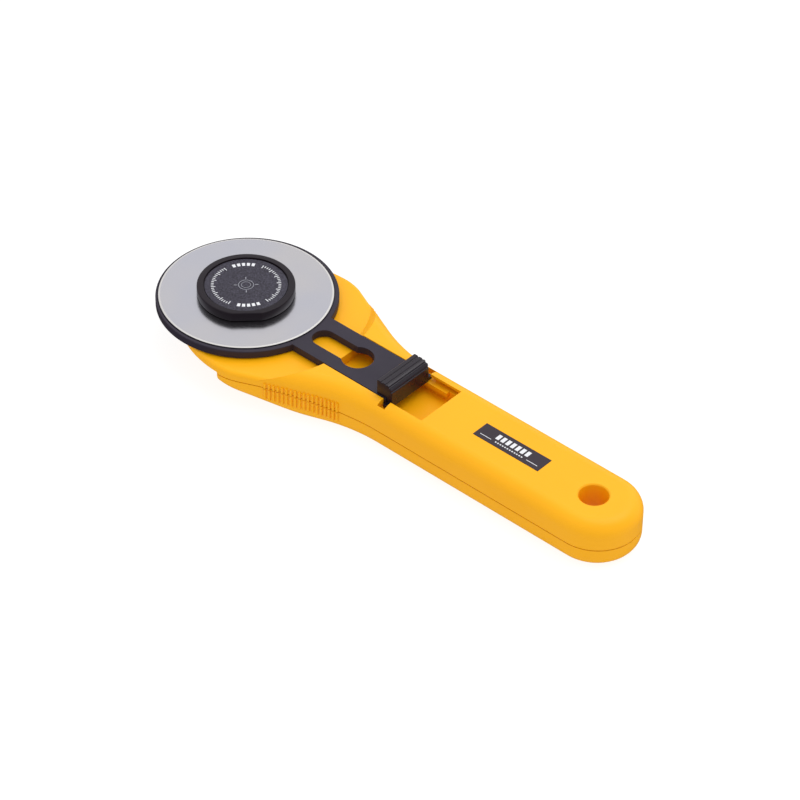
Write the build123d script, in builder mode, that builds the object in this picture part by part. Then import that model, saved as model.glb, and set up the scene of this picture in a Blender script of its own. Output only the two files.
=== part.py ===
"""A large rotary cutter for fabric: a 60 mm disc blade on a screwed pivot, a sliding guard and a
two-shell handle.

Millimetres. +X runs from the blade to the tail, +Z up. The cutter lies on the flat back of its
handle at z = 0, and the origin is under the middle of its outer box.
"""

import os
from math import asin, atan2, cos, degrees, radians, sin, sqrt, tan

from build123d import *

# ---- driving dimensions ---------------------------------------------------------------------

# Blade, which everything else is built around.
BLADE_R = 30.0
BLADE_T = 0.3
BLADE_HOLE_R = 4.0
BLADE_BEVEL = 1.0  # width of the ground rim

# Heights above the resting plane.
DECK_Z = 17.6  # top of the handle, level with the guard
PLATE_Z = 14.4  # top of the head plate that the guard slides on
PLATE_UNDER_Z = 11.8
BLADE_Z = 18.0  # top face of the blade

# Plan outline of the handle, measured from the pivot axis.
HEAD_HALF = 32.3  # half-width at the widest point
HEAD_X = 17.0  # where the head is widest
GRIP_HALF = 15.1
HANG_X = 153.3  # hang hole
TAIL_ROUND_X = 154.7  # centre of the round tail
NOSE_R = 31.7
FRONT_R = 43.75
SHOULDER_R = 20.0
WAIST_R = 62.0
FLANK_ANGLE = 24.0

# Side profile of the handle.
STEP_X = 17.0  # the lower shell begins here, behind the clamp nut
STEP_Z = 6.0  # underside at the step
SLOPE_END_X = 43.0
SLOPE_BLEND_R = 60.0
TOP_ROUND = 5.0
BOTTOM_ROUND = 4.8
RIM_ROUND = 1.5
WALL = 2.4
SEAM_HEAD_Z = 11.0
SEAM_GRIP_Z = 7.8
SEAM_RISE_X = (30.0, 66.0)  # the seam climbs between these
SEAM_GAP = 0.3

# Head plate relief, a round floor with a short ramp up to the deck.
RELIEF_R = 43.0
CHANNEL_FRONT_X = 40.0  # the arm's channel through the ramp starts inside the relief
BOSS_R = 6.5
BOSS_TOP_Z = BLADE_Z - BLADE_T - 0.03
BOSS_GAP = 0.35  # between the boss and the guard's slot

# Guard and thumb slide.
GUARD_R = 31.4
GUARD_RING_X = 0.55  # centre of the guard's disc, a little behind the pivot
GUARD_TRAVEL = 11.5
GUARD_TOP_Z = DECK_Z
GUARD_UNDER_Z = 14.9
GUARD_SEAT_R = BLADE_R + 0.35
GUARD_SEAT_DEPTH = 0.35
GUARD_ROUND = 0.3
ARM_HALF = 9.6
ARM_END_X = 72.6
ARM_SLOT_HALF = 4.15
ARM_SLOT_FRONT_X = 36.15
ARM_SLOT_ROUND_X = 51.4
ARM_SLOT_ROUND_R = 5.6
THUMB_X = (68.3, 74.9)
THUMB_TOP_Z = 23.25
THUMB_HALF = 9.25
THUMB_ROUND = 2.7
THUMB_SKIRT_X = 72.7
THUMB_FRONT_ROUND = 0.5
THUMB_SIDE_ROUND = 0.2
THUMB_PEG_X = 70.4
PEG_SPREAD = 5.0
THUMB_PEG_R = 1.5
GROOVE_R = 0.42
THUMB_GROOVES = [(70.35, 23.3), (72.3, 23.3), (73.8, 22.75), (74.85, 21.2)]
LUG_X = (72.7, 74.7)
LUG_Z = (15.1, 16.3)
LUG_HALF = 11.1

# Thumb pocket in the deck.
POCKET_X = (45.0, 88.5)
POCKET_HALF = 9.95
POCKET_FLOOR_Z = 10.6
TRAY_HALF = 12.35
TRAY_UNDER_Z = 8.6
LEDGE_X = (45.0, 83.5)
LEDGE_HALF = 8.5  # where the two ledges start
LEDGE_Z = (13.2, 14.75)
TRACK_X = (71.9, 87.2)
TRACK_HALF = 12.5
TRACK_Z = (14.8, 16.6)
NOTCH_X = (71.9, 75.1)
NOTCH_HALF = 13.1

# Grip ribs on both flanks.
RIB_COUNT = 18
RIB_FIRST_X = 33.9
RIB_PITCH = 1.4
RIB_R = 0.45
RIB_PROUD = 0.2  # the ribs' axes stand this far outside the flank
RIB_FOOT_Z = (6.2, 4.1)  # of the first rib and of the last
RIB_TOP_Z = (12.9, 12.0)

# Hang hole, label and the posts that join the shells.
HANG_R = 5.0
HANG_TUBE_R = 7.4
HANG_CHAMFER = 0.4
LABEL_X = (105.2, 132.8)
LABEL_HALF = 3.6
LABEL_T = 0.3
LABEL_DEPTH = 0.25
POSTS = [(33.0, 14.5), (33.0, -14.5), (97.0, 0.0), (138.0, 0.0)]
POST_R = 3.0
HEAD_POST_FOOT_Z = 3.5  # inside the wall of the sloping underside
PEG_R = 1.6
PEG_LENGTH = 2.6

# Pivot: bolt, cap, washer and nut.
CAP_R = 16.85
CAP_Z = (BLADE_Z + 0.05, BLADE_Z + 3.54)
CAP_FLAT_DIST = 16.05
CAP_FLAT_ANGLE = -45.6
CAP_PANEL_R = 14.6
CAP_PANEL_DEPTH = 0.4
CAP_ROUND = 0.45
BOLT_HEAD_R = 7.0
BOLT_HEAD_Z = (18.6, 20.2)
SHANK_R = 3.95
SHANK_FLAT = 3.3  # axis to flat
SHANK_END_Z = 10.6
THREAD_R = 2.95
THREAD_END_Z = 4.4
THREAD_CHAMFER = 0.5
FIT = 0.05  # running gap
INSERT_FIT = 0.02  # gap round a moulded-in insert
WASHER_R = (4.6, 8.5)
WASHER_T = 0.4
WASHER_BEND_R = 42.0
NUT_R = 12.5
NUT_Z = (2.8, 10.35)
NUT_SCALLOPS = 20
SCALLOP_R = 1.2
NUT_FOOT_ROUND = 2.5
NUT_TOP_ROUND = 0.6
NUT_WELL_R = 3.35
NUT_WELL_Z = 3.8
INSERT_AF = 10.0
INSERT_Z = (5.4, 10.35)

# ---- derived places -------------------------------------------------------------------------

TAIL_X = TAIL_ROUND_X + GRIP_HALF
FRONT_X = GUARD_RING_X - GUARD_R
PIVOT_X = -(TAIL_X + FRONT_X) / 2  # centres the outer box on the origin
HEAD = Plane(origin=(PIVOT_X, 0, 0))
SIDE = Plane(origin=(PIVOT_X, 0, 0), x_dir=(1, 0, 0), z_dir=(0, -1, 0))
PIVOT_AXIS = Axis((PIVOT_X, 0, 0), (0, 0, 1))

FRONT_Y = HEAD_HALF - FRONT_R
NOSE_X = HEAD_X - sqrt((FRONT_R - NOSE_R) ** 2 - FRONT_Y**2)
NOSE_ANGLE = degrees(atan2(-FRONT_Y, NOSE_X - HEAD_X))
FLANK = radians(FLANK_ANGLE)
SHOULDER_END = (HEAD_X + SHOULDER_R * sin(FLANK), HEAD_HALF - SHOULDER_R * (1 - cos(FLANK)))
WAIST_START_Y = GRIP_HALF + WAIST_R * (1 - cos(FLANK))
WAIST_START = (
    SHOULDER_END[0] + (SHOULDER_END[1] - WAIST_START_Y) / tan(FLANK),
    WAIST_START_Y,
)
WAIST_END_X = WAIST_START[0] + WAIST_R * sin(FLANK)

SLOPE = atan2(STEP_Z, SLOPE_END_X - STEP_X)
BLEND = SLOPE_BLEND_R * tan(SLOPE / 2)  # tangent length of the underside's blend
FAR = 60.0  # past the outside of the handle, for cutting


# ---- shared shapes --------------------------------------------------------------------------


def half_width(x):
    """Half-width of the handle along the flank and the waist."""
    if x < WAIST_START[0]:
        return SHOULDER_END[1] - (x - SHOULDER_END[0]) * tan(FLANK)
    turn = asin((WAIST_END_X - x) / WAIST_R)
    return GRIP_HALF + WAIST_R * (1 - cos(turn))


def handle_plan(z, inset=0.0):
    """The plan outline of the handle at one height, drawn in by a wall thickness."""
    with BuildSketch(HEAD.offset(z)) as plan:
        with BuildLine():
            CenterArc((NOSE_X, 0), NOSE_R, 180, NOSE_ANGLE - 180)
            CenterArc((HEAD_X, FRONT_Y), FRONT_R, NOSE_ANGLE, 90 - NOSE_ANGLE)
            CenterArc((HEAD_X, HEAD_HALF - SHOULDER_R), SHOULDER_R, 90, -FLANK_ANGLE)
            Line(SHOULDER_END, WAIST_START)
            CenterArc((WAIST_END_X, GRIP_HALF + WAIST_R), WAIST_R, 270 - FLANK_ANGLE, FLANK_ANGLE)
            Line((WAIST_END_X, GRIP_HALF), (TAIL_ROUND_X, GRIP_HALF))
            CenterArc((TAIL_ROUND_X, 0), GRIP_HALF, 90, -90)
            mirror(about=Plane.XZ)
        make_face()
        if inset:
            offset(amount=-inset, kind=Kind.INTERSECTION)
    return plan.sketch


def block(x, y, z, mode=Mode.ADD):
    """A box between two x, two y and two z values, x counted from the pivot."""
    with BuildSketch(HEAD.offset(z[0])) as base:
        with Locations(((x[0] + x[1]) / 2, (y[0] + y[1]) / 2)):
            Rectangle(x[1] - x[0], y[1] - y[0])
    extrude(base.sketch, amount=z[1] - z[0], mode=mode)


def both_sides(x, y, z, mode=Mode.ADD):
    """The same box on each side of the middle plane."""
    block(x, y, z, mode)
    block(x, (-y[1], -y[0]), z, mode)


def rod(x, y, radius, z, mode=Mode.ADD):
    """An upright cylinder, x counted from the pivot."""
    with BuildSketch(HEAD.offset(z[0])) as base:
        with Locations((x, y)):
            Circle(radius)
    extrude(base.sketch, amount=z[1] - z[0], mode=mode)


def underside_line(lift=0.0, front=STEP_X):
    """Side view of the underside from the step to the tail, lifted by a wall thickness."""
    start = (front, STEP_Z - (front - STEP_X) * tan(SLOPE) + lift)
    into = (SLOPE_END_X - BLEND * cos(SLOPE), BLEND * sin(SLOPE) + lift)
    out = (SLOPE_END_X + BLEND, lift)
    Line(start, into)
    TangentArc(into, out, tangent=(cos(SLOPE), -sin(SLOPE)))
    Line(out, (TAIL_X + FAR, lift))
    return start


def seam_line(gap):
    """Side view of the seam between the shells, moved up or down by half its gap."""
    head, grip = SEAM_HEAD_Z + gap, SEAM_GRIP_Z + gap
    Line((-FAR, head), (SEAM_RISE_X[0], head))
    Spline((SEAM_RISE_X[0], head), (SEAM_RISE_X[1], grip), tangents=((1, 0), (1, 0)))
    Line((SEAM_RISE_X[1], grip), (TAIL_X + FAR, grip))
    return head, grip


def outer_body():
    """The whole handle before it is split and hollowed."""
    body = BuildPart._get_context()
    extrude(handle_plan(0), amount=DECK_Z)
    with BuildSketch(SIDE) as under_cut:
        with BuildLine():
            start = underside_line()
            Polyline(
                (TAIL_X + FAR, 0),
                (TAIL_X + FAR, -FAR),
                (-FAR, -FAR),
                (-FAR, PLATE_UNDER_Z),
                (STEP_X, PLATE_UNDER_Z),
                start,
            )
        make_face()
    extrude(under_cut.sketch, amount=FAR, both=True, mode=Mode.SUBTRACT)
    under = body.faces().filter_by(
        lambda f: f.normal_at().Z < -0.9 and f.center().X > PIVOT_X + STEP_X
    )
    fillet(under.edges().filter_by(Axis.Y, reverse=True), radius=BOTTOM_ROUND)
    fillet(body.faces().sort_by(Axis.Z)[-1].edges(), radius=TOP_ROUND)


def head_relief():
    """Sinks the round floor of the head and rounds its rim."""
    body = BuildPart._get_context()
    ramp_top = RELIEF_R + DECK_Z - PLATE_Z
    with BuildSketch(SIDE) as relief:
        with BuildLine():
            Polyline(
                (0, PLATE_Z),
                (RELIEF_R, PLATE_Z),
                (ramp_top, DECK_Z),
                (ramp_top, DECK_Z + FAR),
                (0, DECK_Z + FAR),
                close=True,
            )
        make_face()
    revolve(relief.sketch, axis=PIVOT_AXIS, mode=Mode.SUBTRACT)
    plate = body.faces().filter_by(
        lambda f: abs(f.center().Z - PLATE_Z) < 0.01 and f.normal_at().Z > 0.99
    )
    rim = plate.edges().filter_by(
        lambda e: abs((e @ 0.5 - Vector(PIVOT_X, 0, PLATE_Z)).length - RELIEF_R) > 0.05
    )
    fillet(rim, radius=RIM_ROUND)


def grip_ribs():
    """Upright ribs along both flanks, each a little lower than the one before."""
    for i in range(RIB_COUNT):
        x = RIB_FIRST_X + i * RIB_PITCH
        share = i / (RIB_COUNT - 1)
        foot = RIB_FOOT_Z[0] + share * (RIB_FOOT_Z[1] - RIB_FOOT_Z[0])
        top = RIB_TOP_Z[0] + share * (RIB_TOP_Z[1] - RIB_TOP_Z[0])
        for side in (1, -1):
            rod(x, side * (half_width(x) + RIB_PROUD), RIB_R, (foot, top))


def keep_side(gap, reach):
    """Keeps what lies on one side of the seam: above it for a positive reach."""
    with BuildSketch(SIDE) as side:
        with BuildLine():
            head, grip = seam_line(gap)
            Polyline(
                (TAIL_X + FAR, grip), (TAIL_X + FAR, reach), (-FAR, reach), (-FAR, head)
            )
        make_face()
    extrude(side.sketch, amount=FAR, both=True, mode=Mode.INTERSECT)


def hang_hole(face_z):
    """The through hole in the tail, with its edge broken where it meets an outer face."""
    body = BuildPart._get_context()
    rod(HANG_X, 0, HANG_R, (-1, DECK_Z + 1), Mode.SUBTRACT)
    mouth = body.edges().filter_by(GeomType.CIRCLE).filter_by(
        lambda e: abs(e.radius - HANG_R) < 0.01 and abs(e.center().Z - face_z) < 0.01
    )
    chamfer(mouth, length=HANG_CHAMFER)


def double_d(radius, flat):
    """Sketch of a round shank with two flats."""
    Circle(radius)
    Rectangle(2 * radius, 2 * flat, mode=Mode.INTERSECT)


def save(part, name):
    part.label = name
    export_step(part, f"parts/{name}.step")


os.makedirs("parts", exist_ok=True)

# ---- handle ---------------------------------------------------------------------------------

# The hollow of the rear grip, up to the underside of the deck.
with BuildPart() as grip_cavity:
    extrude(handle_plan(-1, WALL), amount=DECK_Z - WALL + 1)
    block((-FAR, POCKET_X[1] + WALL), (-FAR, FAR), (-2, FAR), Mode.SUBTRACT)

# The hollow under the head plate.
with BuildPart() as head_cavity:
    extrude(handle_plan(-1, WALL), amount=PLATE_UNDER_Z + 1)
    block((-FAR, STEP_X + WALL), (-FAR, FAR), (-2, FAR), Mode.SUBTRACT)
    block((POCKET_X[0] - WALL, FAR * 3), (-FAR, FAR), (-2, FAR), Mode.SUBTRACT)

with BuildPart() as upper_shell:
    outer_body()
    head_relief()
    grip_ribs()
    keep_side(SEAM_GAP / 2, FAR)
    add(grip_cavity.part, mode=Mode.SUBTRACT)
    add(head_cavity.part, mode=Mode.SUBTRACT)
    # Tray around the thumb pocket.
    block(
        (POCKET_X[0] - WALL, POCKET_X[1] + WALL),
        (-TRAY_HALF, TRAY_HALF),
        (TRAY_UNDER_Z, PLATE_UNDER_Z),
    )
    # Joining posts and the tube of the hang hole.
    for px, py in POSTS:
        ceiling = PLATE_UNDER_Z if px < POCKET_X[0] else DECK_Z - WALL
        seam = SEAM_HEAD_Z if px < POCKET_X[0] else SEAM_GRIP_Z
        rod(px, py, POST_R, (seam + SEAM_GAP / 2, ceiling))
        if px > POCKET_X[0]:
            rod(px, py, PEG_R + FIT, (0, seam + PEG_LENGTH + SEAM_GAP * 2), Mode.SUBTRACT)
    rod(HANG_X, 0, HANG_TUBE_R, (SEAM_GRIP_Z + SEAM_GAP / 2, DECK_Z - WALL))
    hang_hole(DECK_Z)
    # Channel between the rails, then the deep pocket with its ledges, tracks and notches.
    block(
        (CHANNEL_FRONT_X, POCKET_X[0]), (-POCKET_HALF, POCKET_HALF), (PLATE_Z, FAR), Mode.SUBTRACT
    )
    block(POCKET_X, (-POCKET_HALF, POCKET_HALF), (POCKET_FLOOR_Z, FAR), Mode.SUBTRACT)
    both_sides(LEDGE_X, (LEDGE_HALF, POCKET_HALF), LEDGE_Z)
    both_sides(TRACK_X, (POCKET_HALF, TRACK_HALF), TRACK_Z, Mode.SUBTRACT)
    both_sides(NOTCH_X, (POCKET_HALF, NOTCH_HALF), (TRACK_Z[0], FAR), Mode.SUBTRACT)
    # Pivot boss with its double-D hole.
    rod(0, 0, BOSS_R, (PLATE_UNDER_Z, BOSS_TOP_Z))
    with BuildSketch(HEAD):
        double_d(SHANK_R + FIT, SHANK_FLAT + FIT)
    extrude(amount=FAR, mode=Mode.SUBTRACT)
    # Shallow seat of the label.
    block(LABEL_X, (-LABEL_HALF, LABEL_HALF), (DECK_Z - LABEL_DEPTH, FAR), Mode.SUBTRACT)
save(upper_shell.part, "handle_upper_shell")

# The hollow of the lower shell, which follows the sloping underside.
with BuildPart() as lower_cavity:
    extrude(handle_plan(-1, WALL), amount=DECK_Z)
    with BuildSketch(SIDE) as lower_keep:
        with BuildLine():
            lower_start = underside_line(lift=WALL, front=STEP_X + WALL)
            Polyline(
                (TAIL_X + FAR, WALL),
                (TAIL_X + FAR, FAR),
                (STEP_X + WALL, FAR),
                lower_start,
            )
        make_face()
    extrude(lower_keep.sketch, amount=FAR, both=True, mode=Mode.INTERSECT)

with BuildPart() as lower_shell:
    outer_body()
    grip_ribs()
    keep_side(-SEAM_GAP / 2, -FAR)
    block((-FAR, STEP_X), (-FAR, FAR), (-FAR, FAR), Mode.SUBTRACT)
    add(lower_cavity.part, mode=Mode.SUBTRACT)
    for px, py in POSTS:
        seam = SEAM_HEAD_Z if px < POCKET_X[0] else SEAM_GRIP_Z
        foot = HEAD_POST_FOOT_Z if px < POCKET_X[0] else WALL / 2
        rod(px, py, POST_R, (foot, seam - SEAM_GAP / 2))
        if px > POCKET_X[0]:
            rod(px, py, PEG_R, (foot, seam + PEG_LENGTH))
    rod(HANG_X, 0, HANG_TUBE_R, (WALL / 2, SEAM_GRIP_Z - SEAM_GAP / 2))
    hang_hole(0)
save(lower_shell.part, "handle_lower_shell")

with BuildPart() as label_plate:
    block(
        (LABEL_X[0] + FIT, LABEL_X[1] - FIT),
        (-LABEL_HALF + FIT, LABEL_HALF - FIT),
        (DECK_Z - LABEL_DEPTH, DECK_Z - LABEL_DEPTH + LABEL_T),
    )
save(label_plate.part, "label_plate")

# ---- guard and thumb slide ------------------------------------------------------------------

with BuildPart() as blade_guard:
    with BuildSketch(HEAD.offset(GUARD_UNDER_Z)):
        with Locations((GUARD_RING_X, 0)):
            Circle(GUARD_R)
        with Locations(((ARM_END_X + GUARD_R / 2) / 2, 0)):
            Rectangle(ARM_END_X - GUARD_R / 2, 2 * ARM_HALF)
        # Room for the pivot boss to pass while the guard slides.
        with Locations((-GUARD_TRAVEL / 2, 0)):
            SlotCenterToCenter(GUARD_TRAVEL, 2 * (BOSS_R + BOSS_GAP), mode=Mode.SUBTRACT)
        # Keyhole in the arm.
        with Locations(((ARM_SLOT_FRONT_X + ARM_SLOT_ROUND_X) / 2, 0)):
            SlotCenterToCenter(
                ARM_SLOT_ROUND_X - ARM_SLOT_FRONT_X,
                2 * ARM_SLOT_HALF,
                mode=Mode.SUBTRACT,
            )
        with Locations((ARM_SLOT_ROUND_X, 0)):
            Circle(ARM_SLOT_ROUND_R, mode=Mode.SUBTRACT)
    extrude(amount=GUARD_TOP_Z - GUARD_UNDER_Z)
    seat_floor = GUARD_TOP_Z - GUARD_SEAT_DEPTH
    rod(0, 0, GUARD_SEAT_R, (seat_floor, FAR), Mode.SUBTRACT)
    round_edges = blade_guard.edges().filter_by(GeomType.CIRCLE)
    outer_edges = round_edges.filter_by(lambda e: abs(e.radius - GUARD_R) < 0.01)
    fillet(outer_edges.group_by(Axis.Z)[-1], radius=GUARD_ROUND)
    # Sockets for the pegs of the thumb slide.
    for py in (-PEG_SPREAD, PEG_SPREAD):
        rod(THUMB_PEG_X, py, THUMB_PEG_R + FIT, (GUARD_UNDER_Z, FAR), Mode.SUBTRACT)
save(blade_guard.part, "blade_guard")

with BuildPart() as thumb_slide:
    with BuildSketch(SIDE):
        with BuildLine():
            Polyline(
                (THUMB_X[1], THUMB_TOP_Z - THUMB_ROUND),
                (THUMB_X[1], GUARD_UNDER_Z),
                (THUMB_SKIRT_X, GUARD_UNDER_Z),
                (THUMB_SKIRT_X, DECK_Z),
                (THUMB_X[0], DECK_Z),
                (THUMB_X[0], THUMB_TOP_Z - THUMB_FRONT_ROUND),
            )
            RadiusArc(
                (THUMB_X[0], THUMB_TOP_Z - THUMB_FRONT_ROUND),
                (THUMB_X[0] + THUMB_FRONT_ROUND, THUMB_TOP_Z),
                THUMB_FRONT_ROUND,
            )
            Line(
                (THUMB_X[0] + THUMB_FRONT_ROUND, THUMB_TOP_Z),
                (THUMB_X[1] - THUMB_ROUND, THUMB_TOP_Z),
            )
            RadiusArc(
                (THUMB_X[1] - THUMB_ROUND, THUMB_TOP_Z),
                (THUMB_X[1], THUMB_TOP_Z - THUMB_ROUND),
                THUMB_ROUND,
            )
        make_face()
        # Finger grooves on the top and round the rear edge.
        with Locations(*THUMB_GROOVES):
            Circle(GROOVE_R, mode=Mode.SUBTRACT)
    extrude(amount=THUMB_HALF, both=True)
    for cheek in (thumb_slide.faces().sort_by(Axis.Y)[0], thumb_slide.faces().sort_by(Axis.Y)[-1]):
        proud = cheek.edges().filter_by(lambda e: e.center().Z > DECK_Z + THUMB_SIDE_ROUND)
        fillet(proud, radius=THUMB_SIDE_ROUND)
    both_sides(LUG_X, (THUMB_HALF - 1, LUG_HALF), LUG_Z)
    for py in (-PEG_SPREAD, PEG_SPREAD):
        rod(THUMB_PEG_X, py, THUMB_PEG_R, (GUARD_UNDER_Z + THUMB_SIDE_ROUND, DECK_Z + 1))
save(thumb_slide.part, "thumb_slide")

# ---- blade and pivot ------------------------------------------------------------------------

with BuildPart() as rotary_blade:
    with BuildSketch(SIDE):
        with BuildLine():
            Polyline(
                (BLADE_HOLE_R, BLADE_Z - BLADE_T),
                (BLADE_R - BLADE_BEVEL, BLADE_Z - BLADE_T),
                (BLADE_R, BLADE_Z - BLADE_T / 2),
                (BLADE_R - BLADE_BEVEL, BLADE_Z),
                (BLADE_HOLE_R, BLADE_Z),
                close=True,
            )
        make_face()
    revolve(axis=PIVOT_AXIS)
save(rotary_blade.part, "rotary_blade")

with BuildPart() as pivot_bolt:
    rod(0, 0, BOLT_HEAD_R, BOLT_HEAD_Z)
    with BuildSketch(HEAD.offset(SHANK_END_Z)):
        double_d(SHANK_R, SHANK_FLAT)
    extrude(amount=BOLT_HEAD_Z[0] - SHANK_END_Z)
    rod(0, 0, THREAD_R, (THREAD_END_Z, SHANK_END_Z))
    chamfer(pivot_bolt.faces().sort_by(Axis.Z)[0].edges(), length=THREAD_CHAMFER)
save(pivot_bolt.part, "pivot_bolt")

with BuildPart() as bolt_cap:
    rod(0, 0, CAP_R, CAP_Z)
    # One flat on the edge, a mark for the fingers.
    flat = Plane.XY.rotated((0, 0, CAP_FLAT_ANGLE))
    with BuildSketch(
        Plane(origin=(PIVOT_X, 0, CAP_Z[0]), x_dir=flat.x_dir, z_dir=(0, 0, 1))
    ):
        with Locations((CAP_FLAT_DIST + CAP_R / 2, 0)):
            Rectangle(CAP_R, 2 * CAP_R)
    extrude(amount=CAP_Z[1] - CAP_Z[0], mode=Mode.SUBTRACT)
    rod(0, 0, CAP_PANEL_R, (CAP_Z[1] - CAP_PANEL_DEPTH, FAR), Mode.SUBTRACT)
    top_centre = Vector(PIVOT_X, 0, CAP_Z[1])
    rim = bolt_cap.faces().sort_by(Axis.Z)[-1].edges()
    outer_rim = rim.filter_by(lambda e: (e @ 0.5 - top_centre).length > CAP_PANEL_R + CAP_ROUND)
    fillet(outer_rim, radius=CAP_ROUND)
    head_room = (BOLT_HEAD_Z[0] - INSERT_FIT, BOLT_HEAD_Z[1] + INSERT_FIT)
    rod(0, 0, BOLT_HEAD_R + INSERT_FIT, head_room, Mode.SUBTRACT)
    with BuildSketch(HEAD):
        double_d(SHANK_R + INSERT_FIT, SHANK_FLAT + INSERT_FIT)
    extrude(amount=BOLT_HEAD_Z[1], mode=Mode.SUBTRACT)
save(bolt_cap.part, "bolt_cap")

with BuildPart() as wave_washer:
    with BuildSketch(HEAD):
        Circle(WASHER_R[1])
        Circle(WASHER_R[0], mode=Mode.SUBTRACT)
    extrude(amount=FAR)
    # A ring cut from a gently rolled strip, bowed up along X.
    top = PLATE_UNDER_Z - FIT
    with BuildSketch(SIDE) as strip:
        with Locations((0, top - WASHER_BEND_R)):
            Circle(WASHER_BEND_R)
            Circle(WASHER_BEND_R - WASHER_T, mode=Mode.SUBTRACT)
        with Locations((0, top)):
            Rectangle(4 * WASHER_R[1], WASHER_BEND_R, mode=Mode.INTERSECT)
    extrude(strip.sketch, amount=FAR, both=True, mode=Mode.INTERSECT)
save(wave_washer.part, "wave_washer")

with BuildPart() as nut_insert:
    with BuildSketch(HEAD.offset(INSERT_Z[0])):
        RegularPolygon(INSERT_AF / 2, 6, major_radius=False)
        Circle(THREAD_R + FIT, mode=Mode.SUBTRACT)
    extrude(amount=INSERT_Z[1] - INSERT_Z[0])
save(nut_insert.part, "nut_insert")

with BuildPart() as nut_knob:
    rod(0, 0, NUT_R, NUT_Z)
    fillet(nut_knob.edges().group_by(Axis.Z)[0], radius=NUT_FOOT_ROUND)
    fillet(nut_knob.edges().group_by(Axis.Z)[-1], radius=NUT_TOP_ROUND)
    with BuildSketch(HEAD):
        with PolarLocations(NUT_R + SCALLOP_R / 2, NUT_SCALLOPS):
            Circle(SCALLOP_R)
    extrude(amount=FAR, mode=Mode.SUBTRACT)
    with BuildSketch(HEAD.offset(INSERT_Z[0] - INSERT_FIT)):
        RegularPolygon(INSERT_AF / 2 + INSERT_FIT, 6, major_radius=False)
    extrude(amount=FAR, mode=Mode.SUBTRACT)
    rod(0, 0, NUT_WELL_R, (NUT_WELL_Z, FAR), Mode.SUBTRACT)
save(nut_knob.part, "nut_knob")
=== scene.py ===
"""The looks of a large rotary cutter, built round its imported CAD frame."""
from math import cos, pi, radians, sin

import bmesh
import bpy
from mathutils import Matrix, Vector


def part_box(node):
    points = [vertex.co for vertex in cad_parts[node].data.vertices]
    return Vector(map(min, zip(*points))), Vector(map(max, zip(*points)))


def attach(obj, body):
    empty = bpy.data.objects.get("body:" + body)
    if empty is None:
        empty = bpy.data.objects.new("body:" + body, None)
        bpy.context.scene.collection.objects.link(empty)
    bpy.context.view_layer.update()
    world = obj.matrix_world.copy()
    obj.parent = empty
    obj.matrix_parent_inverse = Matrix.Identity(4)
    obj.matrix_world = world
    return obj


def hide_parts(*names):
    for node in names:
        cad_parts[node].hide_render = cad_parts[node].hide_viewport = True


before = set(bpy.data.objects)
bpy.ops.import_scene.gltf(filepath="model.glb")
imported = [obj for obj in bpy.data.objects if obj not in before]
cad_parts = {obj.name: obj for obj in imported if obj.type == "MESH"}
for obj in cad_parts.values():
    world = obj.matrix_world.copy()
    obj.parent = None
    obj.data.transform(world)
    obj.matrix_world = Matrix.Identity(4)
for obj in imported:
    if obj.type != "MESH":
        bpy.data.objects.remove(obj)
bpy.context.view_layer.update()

MM = 0.001

# Scales of the moulded plastics' unevenness, in cycles per metre, and the depth of its waviness.
MOTTLE = 45.0
GLOSS_DRIFT = 160.0
SINK_WAVE = 30.0
SINK_DEPTH = 0.00006

# ---- places taken from the CAD -----------------------------------------------------------------

blade_lo, blade_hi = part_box("rotary_blade")
cap_lo, cap_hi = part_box("bolt_cap")
bolt_lo, bolt_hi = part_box("pivot_bolt")
label_lo, label_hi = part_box("label_plate")
PIVOT = Vector(((blade_lo.x + blade_hi.x) / 2, 0, 0))
BLADE_R = (blade_hi.x - blade_lo.x) / 2
BLADE_TOP, BLADE_UNDER = blade_hi.z, blade_lo.z
CAP_R = (cap_hi.x - cap_lo.x) / 2

# ---- node helpers ------------------------------------------------------------------------------


def material(name):
    """A new material, with its node tree and its one shader."""
    mat = bpy.data.materials.new(name)
    mat.use_nodes = True
    tree = mat.node_tree
    tree.nodes.clear()
    out = tree.nodes.new("ShaderNodeOutputMaterial")
    shader = tree.nodes.new("ShaderNodeBsdfPrincipled")
    tree.links.new(shader.outputs["BSDF"], out.inputs["Surface"])
    return mat, tree, shader


def node(tree, kind, inputs=None, **settings):
    """A shader node. An input given as a socket is linked, and any other is set as its value."""
    made = tree.nodes.new("ShaderNode" + kind)
    for key, value in settings.items():
        setattr(made, key, value)
    for key, value in (inputs or {}).items():
        if isinstance(value, bpy.types.NodeSocket):
            tree.links.new(value, made.inputs[key])
        else:
            made.inputs[key].default_value = value
    return made


def place(tree):
    """Object coordinates, in metres."""
    return node(tree, "TexCoord").outputs["Object"]


def noise(tree, where, scale, detail=2.0, rough=0.5):
    """Noise with a scale in cycles per metre."""
    found = node(
        tree, "TexNoise", {"Vector": where, "Scale": scale, "Detail": detail, "Roughness": rough}
    )
    return found.outputs["Fac"]


def spread(tree, value, low, high, start=0.3, end=0.7):
    """Maps a noise value from start..end to low..high."""
    made = node(tree, "MapRange", {"Value": value, "From Min": start, "From Max": end,
                                   "To Min": low, "To Max": high})
    return made.outputs["Result"]


def blend_colour(tree, factor, one, two):
    """Runs from colour one to colour two as the factor socket rises."""
    made = node(tree, "Mix", data_type="RGBA")
    for key, kind, value in (("Factor", "VALUE", factor), ("A", "RGBA", one), ("B", "RGBA", two)):
        socket = [s for s in made.inputs if s.name == key and s.type == kind][0]
        if isinstance(value, bpy.types.NodeSocket):
            tree.links.new(value, socket)
        else:
            socket.default_value = (*value, 1)
    return [s for s in made.outputs if s.type == "RGBA"][0]


def bump(tree, height, strength, distance, under=None):
    made = node(tree, "Bump", {"Height": height, "Strength": strength, "Distance": distance})
    if under is not None:
        tree.links.new(under, made.inputs["Normal"])
    return made.outputs["Normal"]


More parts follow.
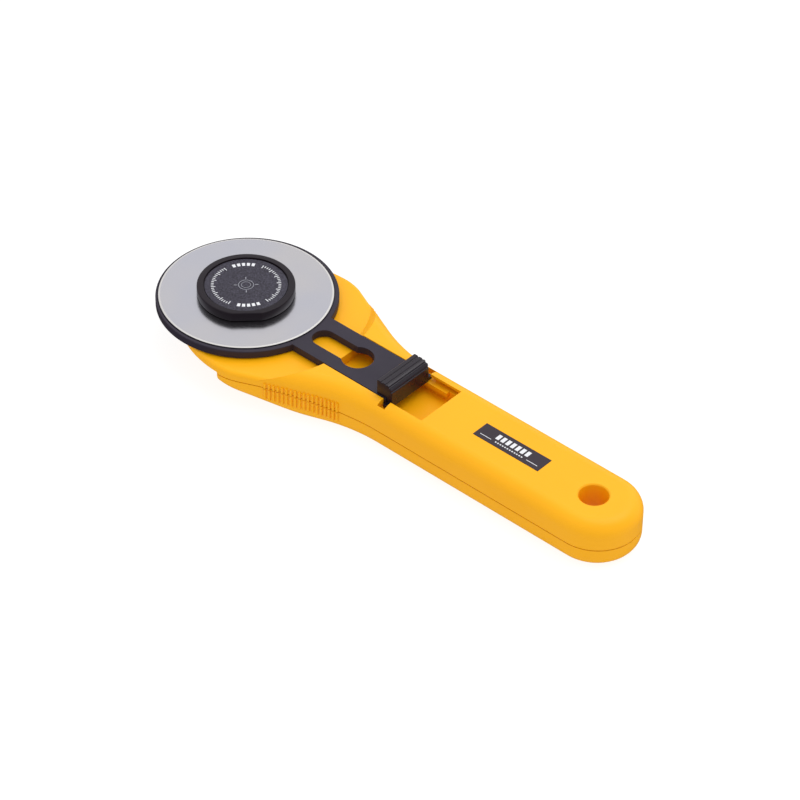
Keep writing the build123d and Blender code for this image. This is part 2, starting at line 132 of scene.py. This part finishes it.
def soft_edges(tree, radius):
    """Normals that roll over sharp moulded edges, as a real mould's small radii do."""
    return node(tree, "Bevel", {"Radius": radius}, samples=4).outputs["Normal"]


def moulded(
    name, light, dark, rough, grain_size, grain_depth, edge, specular=0.5, speckle=0.35
):
    """Moulded plastic: faint mottling, uneven gloss, fine mould grain and softened edges."""
    mat, tree, shader = material(name)
    where = place(tree)
    grain = 1.0 / grain_size
    patch = spread(tree, noise(tree, where, MOTTLE, 3.0), 0.0, 1.0 - speckle)
    fleck = spread(tree, noise(tree, where, grain, 2.0), 0.0, speckle)
    both = node(tree, "Math", {0: patch, 1: fleck}, operation="ADD")
    colour = blend_colour(tree, both.outputs[0], light, dark)
    tree.links.new(colour, shader.inputs["Base Color"])
    gloss = spread(tree, noise(tree, where, GLOSS_DRIFT, 4.0), rough - 0.05, rough + 0.05)
    tree.links.new(gloss, shader.inputs["Roughness"])
    shader.inputs["Specular IOR Level"].default_value = specular
    normal = soft_edges(tree, edge)
    normal = bump(tree, noise(tree, where, SINK_WAVE, 1.0), 0.25, SINK_DEPTH, normal)
    normal = bump(tree, noise(tree, where, grain, 3.0), 0.5, grain_depth, normal)
    tree.links.new(normal, shader.inputs["Normal"])
    return mat


def steel(name, light, dark, rough, streak=(1.0, 1.0, 1.0)):
    """Plated or brushed steel with fine streaks."""
    mat, tree, shader = material(name)
    where = node(tree, "Mapping", {"Vector": place(tree), "Scale": streak}).outputs[0]
    lines = noise(tree, where, 900.0, 4.0)
    colour = blend_colour(tree, spread(tree, lines, 0, 1), light, dark)
    tree.links.new(colour, shader.inputs["Base Color"])
    shader.inputs["Metallic"].default_value = 1.0
    tree.links.new(spread(tree, lines, rough - 0.06, rough + 0.08), shader.inputs["Roughness"])
    normal = bump(tree, lines, 0.3, 0.00001, soft_edges(tree, 0.0002))
    tree.links.new(normal, shader.inputs["Normal"])
    return mat


def from_axis(tree, where):
    """Distance from the piece's own upright axis."""
    parts = node(tree, "SeparateXYZ", {0: where})
    flat = node(tree, "CombineXYZ", {0: parts.outputs[0], 1: parts.outputs[1]})
    length = node(tree, "VectorMath", {0: flat.outputs[0]}, operation="LENGTH")
    return length.outputs["Value"]


def turned(tree, where, scale, detail):
    """Noise that changes only with the distance from the axis, so it reads as fine circles."""
    line = node(tree, "CombineXYZ", {0: from_axis(tree, where)})
    return noise(tree, line.outputs[0], scale, detail)


# ---- mesh helpers ------------------------------------------------------------------------------


def piece(name, bm, mat, body, centre=None, angle=35.0):
    """Turns a bmesh in row coordinates into an object, with its origin at centre."""
    bmesh.ops.remove_doubles(bm, verts=bm.verts, dist=1e-7)
    bmesh.ops.recalc_face_normals(bm, faces=bm.faces)
    mesh = bpy.data.meshes.new(name)
    bm.to_mesh(mesh)
    bm.free()
    for face in mesh.polygons:
        face.use_smooth = True
    mesh.set_sharp_from_angle(angle=radians(angle))
    obj = bpy.data.objects.new(name, mesh)
    bpy.context.scene.collection.objects.link(obj)
    if centre is not None:
        mesh.transform(Matrix.Translation(-centre))
        obj.location = centre
    obj.data.materials.append(mat)
    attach(obj, body)
    return obj


def spun(bm, profile, steps, reach=None):
    """Spins a closed profile of (radius, z) about the pivot. reach limits a radius at an angle."""
    rings = []
    for i in range(steps):
        turn = 2 * pi * i / steps
        ring = []
        for radius, z in profile:
            r = reach(turn, radius) if reach else radius
            ring.append(bm.verts.new(PIVOT + Vector((r * cos(turn), r * sin(turn), z))))
        rings.append(ring)
    count = len(profile)
    for i in range(steps):
        one, two = rings[i], rings[(i + 1) % steps]
        for j in range(count):
            k = (j + 1) % count
            corners = [one[j], two[j], two[k], one[k]]
            if profile[j][0] < 1e-9 and profile[k][0] < 1e-9:
                continue
            if profile[j][0] < 1e-9:
                corners = [one[j], two[k], one[k]]
            elif profile[k][0] < 1e-9:
                corners = [one[j], two[j], one[k]]
            bm.faces.new(corners)


def plate(bm, outline, low, high):
    """A flat closed plate between two heights from an outline of (x, y) points."""
    under = [bm.verts.new((x, y, low)) for x, y in outline]
    over = [bm.verts.new((x, y, high)) for x, y in outline]
    bm.faces.new(over)
    bm.faces.new(reversed(under))
    for i in range(len(outline)):
        j = (i + 1) % len(outline)
        bm.faces.new((under[i], under[j], over[j], over[i]))


def arc_mark(bm, inner, outer, start, end, low, high):
    """A printed mark that follows an arc about the pivot, angles in degrees."""
    steps = max(2, int(abs(end - start) / 2) + 1)
    turns = [radians(start + (end - start) * i / steps) for i in range(steps + 1)]
    outline = [(PIVOT.x + outer * cos(t), outer * sin(t)) for t in turns]
    outline += [(PIVOT.x + inner * cos(t), inner * sin(t)) for t in reversed(turns)]
    plate(bm, outline, low, high)


def ring_mark(bm, inner, outer, low, high):
    """A printed ring about the pivot."""
    spun(bm, [(inner, low), (outer, low), (outer, high), (inner, high)], 96)


# ---- materials ---------------------------------------------------------------------------------

yellow = moulded(
    "moulded_yellow", (0.97, 0.445, 0.002), (0.94, 0.42, 0.0015), rough=0.4,
    grain_size=0.00035, grain_depth=0.000012, edge=0.00016, specular=0.25,
)
guard_black = moulded(
    "moulded_guard", (0.024, 0.017, 0.032), (0.018, 0.013, 0.024), rough=0.5,
    grain_size=0.0004, grain_depth=0.00002, edge=0.0002, specular=0.3,
)
slide_black = moulded(
    "moulded_slide", (0.013, 0.007, 0.014), (0.009, 0.005, 0.010), rough=0.28,
    grain_size=0.0005, grain_depth=0.000006, edge=0.00012, specular=0.36,
)
cap_black = moulded(
    "moulded_cap", (0.009, 0.004, 0.009), (0.006, 0.003, 0.006), rough=0.34,
    grain_size=0.0004, grain_depth=0.000008, edge=0.0002, specular=0.22,
)
panel_black = moulded(
    "grained_panel", (0.007, 0.005, 0.010), (0.062, 0.056, 0.082), rough=0.5,
    grain_size=0.0005, grain_depth=0.00008, edge=0.0001, specular=0.25, speckle=0.9,
)
nut_black = moulded(
    "moulded_nut", (0.02, 0.018, 0.02), (0.013, 0.012, 0.014), rough=0.42,
    grain_size=0.0004, grain_depth=0.000012, edge=0.0003,
)
label_foil = moulded(
    "label_foil", (0.026, 0.014, 0.024), (0.018, 0.010, 0.018), rough=0.38,
    grain_size=0.0006, grain_depth=0.000004, edge=0.00005, specular=0.33,
)
plated = steel("plated_steel", (0.62, 0.60, 0.57), (0.5, 0.49, 0.47), 0.3)
spring = steel("spring_steel", (0.5, 0.5, 0.5), (0.38, 0.38, 0.39), 0.34, (1.0, 8.0, 1.0))


def blade_material():
    """Satin disc: fine circular grinding lines and a faint drift of tint across the face."""
    mat, tree, shader = material("satin_blade")
    where = place(tree)
    lines = turned(tree, where, 4200.0, 5.0)
    drift = spread(tree, noise(tree, where, 38.0, 2.0), 0.0, 1.0, 0.35, 0.65)
    tint = blend_colour(tree, drift, (0.475, 0.47, 0.515), (0.515, 0.495, 0.505))
    colour = blend_colour(tree, spread(tree, lines, 0.0, 0.35), tint, (0.42, 0.42, 0.45))
    tree.links.new(colour, shader.inputs["Base Color"])
    shader.inputs["Metallic"].default_value = 1.0
    tree.links.new(spread(tree, lines, 0.16, 0.25), shader.inputs["Roughness"])
    tree.links.new(bump(tree, lines, 0.25, 0.000004), shader.inputs["Normal"])
    return mat


def edge_material():
    """The ground rim: paler than the disc, with fine circular lines."""
    mat, tree, shader = material("ground_rim")
    where = place(tree)
    lines = turned(tree, where, 9000.0, 3.0)
    colour = blend_colour(tree, spread(tree, lines, 0, 1), (0.64, 0.62, 0.60), (0.55, 0.53, 0.52))
    tree.links.new(colour, shader.inputs["Base Color"])
    shader.inputs["Metallic"].default_value = 0.35
    tree.links.new(spread(tree, lines, 0.45, 0.6), shader.inputs["Roughness"])
    tree.links.new(bump(tree, lines, 0.3, 0.000004), shader.inputs["Normal"])
    return mat


def ink_material(name, colour, worn):
    """Printed ink with a slightly uneven coat."""
    mat, tree, shader = material(name)
    where = place(tree)
    patchy = noise(tree, where, 2600.0, 3.0)
    coat = blend_colour(tree, spread(tree, patchy, 0, 1, 0.35, 0.75), colour, worn)
    tree.links.new(coat, shader.inputs["Base Color"])
    tree.links.new(spread(tree, patchy, 0.4, 0.6), shader.inputs["Roughness"])
    return mat


blade_steel = blade_material()
ground_rim = edge_material()
ink = ink_material("white_ink", (0.84, 0.84, 0.86), (0.6, 0.6, 0.62))
faint_ink = ink_material("faint_ink", (0.34, 0.34, 0.38), (0.22, 0.22, 0.25))

for name, finish in (
    ("handle_upper_shell", yellow), ("handle_lower_shell", yellow), ("blade_guard", guard_black),
    ("thumb_slide", slide_black), ("label_plate", label_foil), ("nut_knob", nut_black),
    ("nut_insert", plated), ("wave_washer", spring),
):
    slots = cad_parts[name].data.materials
    slots.clear()
    slots.append(finish)

# ---- blade -------------------------------------------------------------------------------------

BORE_R = 4.0 * MM
RIM = 0.6 * MM
RIM_ROOT = BLADE_R - RIM

body = bmesh.new()
disc = [(BORE_R, BLADE_UNDER), (RIM_ROOT, BLADE_UNDER), (RIM_ROOT, BLADE_TOP), (BORE_R, BLADE_TOP)]
spun(body, disc, 240)
blade = piece("blade_disc", body, blade_steel, "blade", PIVOT)

body = bmesh.new()
tip = (BLADE_R, (BLADE_TOP + BLADE_UNDER) / 2)
spun(body, [(RIM_ROOT, BLADE_UNDER), tip, (RIM_ROOT, BLADE_TOP)], 240)
piece("blade_rim", body, ground_rim, "blade", PIVOT, 12.0)
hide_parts("rotary_blade")

# ---- cap ---------------------------------------------------------------------------------------

# The flat on the cap's edge: its distance from the axis and its direction.
FLAT_DIST, FLAT_TURN = 16.05 * MM, radians(-45.6)
CAP_BORE_R = 4.0 * MM
CAP_ROUND = 0.45 * MM
PANEL_R = 14.6 * MM
RIM_TOP = cap_hi.z
PANEL_TOP = RIM_TOP - 0.4 * MM
# A narrow trench runs round the panel, inside the rim.
TRENCH = 0.35 * MM
TRENCH_FLOOR = PANEL_TOP - 0.25 * MM
PANEL_EDGE = 0.08 * MM
# Room for the bolt's head, moulded into the cap.
HEAD_R = 7.02 * MM
HEAD_LOW, HEAD_TOP = 18.58 * MM, bolt_hi.z + 0.02 * MM


def cap_reach(turn, radius):
    """The cap's edge is cut by one flat; the edge rounds follow it."""
    lean = cos(turn - FLAT_TURN)
    cut = FLAT_DIST / lean if lean > 0.5 else 1.0
    return radius if radius < PANEL_R + 0.2 * MM else min(radius, cut - (CAP_R - radius))


def rounded(radius, z, size, turns):
    """Points of a quarter round at a top outer corner."""
    middle_r, middle_z = radius - size, z - size
    return [(middle_r + size * sin(radians(t)), middle_z + size * cos(radians(t))) for t in turns]


body = bmesh.new()
panel_inner = PANEL_R - TRENCH
wall = [
    (CAP_BORE_R, cap_lo.z),
    (CAP_R - 0.5 * MM, cap_lo.z),
    (CAP_R - 0.12 * MM, cap_lo.z + 0.14 * MM),
    (CAP_R, cap_lo.z + 0.45 * MM),
]
wall += rounded(CAP_R, RIM_TOP, CAP_ROUND, (90, 70, 50, 30, 12, 0))
wall += [
    (PANEL_R + 0.12 * MM, RIM_TOP),
    (PANEL_R, RIM_TOP - 0.1 * MM),
    (PANEL_R, TRENCH_FLOOR),
    (panel_inner, TRENCH_FLOOR),
    (panel_inner, HEAD_TOP),
    (HEAD_R, HEAD_TOP),
    (HEAD_R, HEAD_LOW),
    (CAP_BORE_R, HEAD_LOW),
]
spun(body, wall, 288, cap_reach)
cap = piece("cap_body", body, cap_black, "pivot", PIVOT, 30.0)
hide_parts("bolt_cap")

body = bmesh.new()
panel = [
    (0, HEAD_TOP),
    (panel_inner, HEAD_TOP),
    (panel_inner, PANEL_TOP - PANEL_EDGE),
    (panel_inner - PANEL_EDGE, PANEL_TOP),
    (0, PANEL_TOP),
]
spun(body, panel, 192)
piece("cap_panel", body, panel_black, "pivot", PIVOT, 30.0)

# Printed ring: two runs of broad bars and two runs of fine ticks. Angles are in degrees.
INK = 0.03 * MM
RING_INNER, RING_OUTER = 10.45 * MM, 12.0 * MM
BAR_RUNS, BARS, BAR_PITCH, BAR_HALF = (138.0, 318.0), 5, 8.6, 2.7
TICK_RUNS, TICKS, TICK_PITCH, TICK_HALF = (48.0, 228.0), 25, 4.6, 0.75
LONG_TICK_EVERY, TICK_CUT = 4, 0.62 * MM

body = bmesh.new()
low, high = PANEL_TOP - INK, PANEL_TOP + INK
for run in BAR_RUNS:
    for i in range(BARS):
        at = run + (i - BARS // 2) * BAR_PITCH
        arc_mark(body, RING_INNER, RING_OUTER, at - BAR_HALF, at + BAR_HALF, low, high)
for run in TICK_RUNS:
    for i in range(TICKS):
        at = run + (i - TICKS // 2) * TICK_PITCH
        short = 0.0 if i % LONG_TICK_EVERY == 0 else TICK_CUT
        arc_mark(body, RING_INNER + short, RING_OUTER, at - TICK_HALF, at + TICK_HALF, low, high)
piece("cap_ring_print", body, ink, "pivot", PIVOT)

# A plain mark in the middle: two rings and four short rays.
body = bmesh.new()
ring_mark(body, 2.5 * MM, 2.68 * MM, low, high)
ring_mark(body, 1.5 * MM, 1.64 * MM, low, high)
for at in (45, 135, 225, 315):
    arc_mark(body, 3.0 * MM, 4.2 * MM, at - 2.2, at + 2.2, low, high)
piece("cap_centre_print", body, faint_ink, "pivot", PIVOT)

# ---- bolt with its thread ----------------------------------------------------------------------

BOLT_HEAD_R, BOLT_HEAD_UNDER = 7.0 * MM, 18.6 * MM
SHANK_R, SHANK_FLAT = 3.95 * MM, 3.3 * MM
SHANK_END = 10.6 * MM
THREAD_R, THREAD_DEPTH, PITCH = 2.95 * MM, 0.5 * MM, 1.0 * MM
THREAD_LEAD = 0.55 * MM
ROWS_PER_TURN = 12
OVERLAP = 0.05 * MM


def double_d(steps):
    """Outline of the shank: a circle with two flats."""
    return [
        (PIVOT.x + SHANK_R * cos(t), max(-SHANK_FLAT, min(SHANK_FLAT, SHANK_R * sin(t))))
        for t in (2 * pi * i / steps for i in range(steps))
    ]


def threaded_rod(bm, low, high):
    """A rod whose surface winds down as a right-hand thread, with a tapered lead at its tip."""
    around, rows = 48, int((high - low) / PITCH * ROWS_PER_TURN)
    rings = []
    for k in range(rows + 1):
        z = low + (high - low) * k / rows
        ring = []
        for i in range(around):
            turn = 2 * pi * i / around
            phase = ((z - low) / PITCH - i / around) % 1.0
            tooth = min(1.0, max(0.0, 1.5 - abs(phase - 0.5) * 3.4))
            r = THREAD_R - THREAD_DEPTH * tooth
            r = min(r, THREAD_R - THREAD_LEAD + (z - low))
            ring.append(bm.verts.new(PIVOT + Vector((r * cos(turn), r * sin(turn), z))))
        rings.append(ring)
    for one, two in zip(rings, rings[1:]):
        for i in range(around):
            j = (i + 1) % around
            bm.faces.new((one[i], one[j], two[j], two[i]))
    bm.faces.new(reversed(rings[0]))
    bm.faces.new(rings[-1])


body = bmesh.new()
top = bolt_hi.z
head = [(0, BOLT_HEAD_UNDER), (BOLT_HEAD_R, BOLT_HEAD_UNDER), (BOLT_HEAD_R, top), (0, top)]
spun(body, head, 96)
plate(body, double_d(72), SHANK_END, BOLT_HEAD_UNDER + OVERLAP)
threaded_rod(body, bolt_lo.z, SHANK_END + OVERLAP)
bolt = piece("bolt_body", body, plated, "pivot", PIVOT, 40.0)
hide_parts("pivot_bolt")

# ---- label print -------------------------------------------------------------------------------

body = bmesh.new()
low, high = label_hi.z - INK, label_hi.z + INK
centre_x = (label_lo.x + label_hi.x) / 2


def stripe(x, y, wide, tall):
    """A printed bar on the label, in millimetres from the label's middle to the bar's."""
    outline = [
        (x - wide / 2, y - tall / 2), (x + wide / 2, y - tall / 2),
        (x + wide / 2, y + tall / 2), (x - wide / 2, y + tall / 2),
    ]
    plate(body, [(centre_x + a * MM, b * MM) for a, b in outline], low, high)


BAR_COUNT, BAR_STEP, BAR_Y = 7, 2.05, 0.75
DASH_COUNT, DASH_STEP, DASH_Y = 12, 1.0, -1.75
for i in range(BAR_COUNT):
    stripe((i - (BAR_COUNT - 1) / 2) * BAR_STEP, BAR_Y, 1.35, 2.5)
for i in range(DASH_COUNT):
    stripe((i - (DASH_COUNT - 1) / 2) * DASH_STEP, DASH_Y, 0.55, 0.5)
for line_x in (-9.8, 9.8):
    stripe(line_x, DASH_Y, 4.6, 0.22)
piece("label_print", body, ink, "handle")

# ---- studio ------------------------------------------------------------------------------------


FLOOR_HALF = 60.0
FLOOR_GLOW = 0.86
KEY_AZIMUTH, KEY_ELEVATION = 70, 68
KEY_DISTANCE, KEY_SIZE, KEY_POWER = 1.0, 0.8, 3.6
SKY_TINT = (0.975, 0.985, 1.0, 1)
SKY_NEAR, SKY_FAR = 0.86, 1.12
# Grey levels of the sky below the horizon, at it, and overhead, with their places on the ramp.
SKY_BELOW, SKY_HORIZON, SKY_OVERHEAD = (0.499, 0.1), (0.4998, 0.7), (0.68, 1.0)


def studio_floor():
    """A wide pale floor that glows a little, so that the object's shadow on it stays faint."""
    mat, tree, shader = material("studio_floor")
    cloud = noise(tree, place(tree), 3.0, 2.0)
    shade = blend_colour(tree, spread(tree, cloud, 0, 1), (0.21, 0.21, 0.21), (0.20, 0.20, 0.20))
    tree.links.new(shade, shader.inputs["Base Color"])
    shader.inputs["Roughness"].default_value = 0.8
    shader.inputs["Specular IOR Level"].default_value = 0.1
    shader.inputs["Emission Color"].default_value = (1, 1, 1, 1)
    shader.inputs["Emission Strength"].default_value = FLOOR_GLOW
    body = bmesh.new()
    bmesh.ops.create_grid(body, x_segments=8, y_segments=8, size=FLOOR_HALF)
    mesh = bpy.data.meshes.new("studio_floor")
    body.to_mesh(mesh)
    body.free()
    floor = bpy.data.objects.new("studio_floor", mesh)
    bpy.context.scene.collection.objects.link(floor)
    mesh.materials.append(mat)
    # The object's gloss reflects the dark below the horizon in place of the floor.
    floor.visible_glossy = False


def key_light(aim):
    """A square soft light, placed by azimuth and elevation from its aim."""
    turn, rise = radians(KEY_AZIMUTH), radians(KEY_ELEVATION)
    direction = Vector((cos(rise) * cos(turn), cos(rise) * sin(turn), sin(rise)))
    lamp = bpy.data.lights.new("key", "AREA")
    lamp.shape = "SQUARE"
    lamp.size = KEY_SIZE
    lamp.energy = KEY_POWER
    obj = bpy.data.objects.new("key", lamp)
    bpy.context.scene.collection.objects.link(obj)
    obj.location = aim + direction * KEY_DISTANCE
    obj.rotation_euler = direction.to_track_quat("Z", "Y").to_euler()


def sky():
    """A white surround, strong overhead, weaker near the horizon and dark below it.

    It is also a little stronger towards -X and +Y than towards +X and -Y.
    """
    world = bpy.data.worlds.new("studio")
    bpy.context.scene.world = world
    world.use_nodes = True
    tree = world.node_tree
    tree.nodes.clear()
    out = tree.nodes.new("ShaderNodeOutputWorld")
    back = node(tree, "Background")
    where = node(tree, "TexCoord").outputs["Generated"]
    parts = node(tree, "SeparateXYZ", {0: where})
    across = node(tree, "Math", {0: parts.outputs[0], 2: parts.outputs[1]},
                  operation="MULTIPLY_ADD")
    across.inputs[1].default_value = -0.75
    depth = node(tree, "MapRange", {"Value": across.outputs[0], "From Min": -0.8, "From Max": 0.8,
                                    "To Min": SKY_NEAR, "To Max": SKY_FAR})
    height = node(tree, "MapRange", {"Value": parts.outputs[2], "From Min": -1.0, "From Max": 1.0})
    ramp = node(tree, "ValToRGB", {"Fac": height.outputs["Result"]})
    stops = ramp.color_ramp.elements
    levels = ((stops[0], SKY_BELOW), (stops[1], SKY_OVERHEAD))
    for stop, (position, grey) in levels:
        stop.position = position
        stop.color = (grey, grey, grey, 1)
    position, grey = SKY_HORIZON
    stops.new(position).color = (grey, grey, grey, 1)
    strength = node(tree, "Math", {0: depth.outputs["Result"], 1: ramp.outputs["Color"]},
                    operation="MULTIPLY")
    tree.links.new(strength.outputs[0], back.inputs["Strength"])
    back.inputs["Color"].default_value = SKY_TINT
    tree.links.new(back.outputs[0], out.inputs["Surface"])


studio_floor()
sky()
key_light(Vector((0, 0, 15 * MM)))

# ---- camera ------------------------------------------------------------------------------------

# The point looked at, and how the camera is turned, tipped, rolled and set back from it.
AIM = PIVOT + Vector((0.07642, -0.00688, 0.0176))
TURN, RISE, ROLL, REACH = radians(41.157), radians(40.186), radians(-0.843), 1.17424

forward = Vector((-sin(TURN) * cos(RISE), cos(TURN) * cos(RISE), -sin(RISE)))
level = Vector((cos(TURN), sin(TURN), 0))
down = forward.cross(level)
right = cos(ROLL) * level + sin(ROLL) * down
up = right.cross(forward)
lens = bpy.data.cameras.new("camera")
lens.lens = 160.43
lens.sensor_width = 36.0
lens.clip_start, lens.clip_end = 0.05, 200.0
camera = bpy.data.objects.new("camera", lens)
bpy.context.scene.collection.objects.link(camera)
spot = AIM - forward * REACH
camera.matrix_world = Matrix((
    (right.x, up.x, -forward.x, spot.x),
    (right.y, up.y, -forward.y, spot.y),
    (right.z, up.z, -forward.z, spot.z),
    (0, 0, 0, 1),
))
bpy.context.scene.camera = camera
bpy.context.scene.view_settings.view_transform = "Standard"
